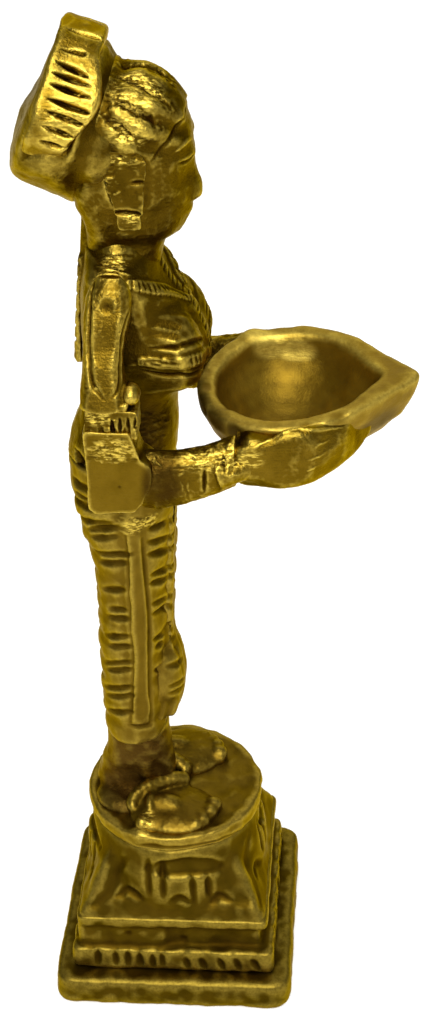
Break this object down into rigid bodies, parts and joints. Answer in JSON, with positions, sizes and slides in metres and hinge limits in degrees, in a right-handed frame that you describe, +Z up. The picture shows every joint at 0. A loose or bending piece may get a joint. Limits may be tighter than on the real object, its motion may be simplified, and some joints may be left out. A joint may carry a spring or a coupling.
{
  "type": "deepalakshmi lamp",
  "caption": "Cast brass oil lamp: a standing draped woman on a lotus drum and square plinth holds a leaf-shaped lamp bowl before her in both hands.",
  "frame": {"origin": "centre of the plinth's flat underside, on the surface that the lamp stands on", "axes": "+Z up along the figure, -Y the way the figure faces and the lamp's spout points, +X to the figure's left"},
  "size_m": [0.0292, 0.0423, 0.1184],
  "materials": {
    "cast_brass": "sand-cast brass, aged olive gold with dark hollows",
    "worn_brass": "filed and handled brass, brighter, with file marks",
    "braze": "brown brazing metal left rough at the ankle seam"
  },
  "bodies": {
    "root": {"plinth_foot": "cast_brass", "plinth_step": "cast_brass", "pedestal_drum": "cast_brass", "standing_plate": "cast_brass", "figure_tang": "worn_brass", "ankle_block": "braze", "right_foot": "cast_brass", "left_foot": "cast_brass", "skirt": "cast_brass", "front_pleat": "cast_brass", "torso": "cast_brass", "back_plait": "cast_brass", "head": "cast_brass", "hair_bun": "cast_brass", "bun_garland": "worn_brass", "right_ear": "cast_brass", "left_ear": "cast_brass", "right_upper_arm": "worn_brass", "left_upper_arm": "worn_brass", "right_armlet": "worn_brass", "left_armlet": "worn_brass", "right_elbow": "worn_brass", "left_elbow": "worn_brass", "right_forearm": "cast_brass", "left_forearm": "cast_brass", "right_hand": "cast_brass", "left_hand": "cast_brass", "lamp_bowl": "cast_brass"}
  },
  "joints": []
}
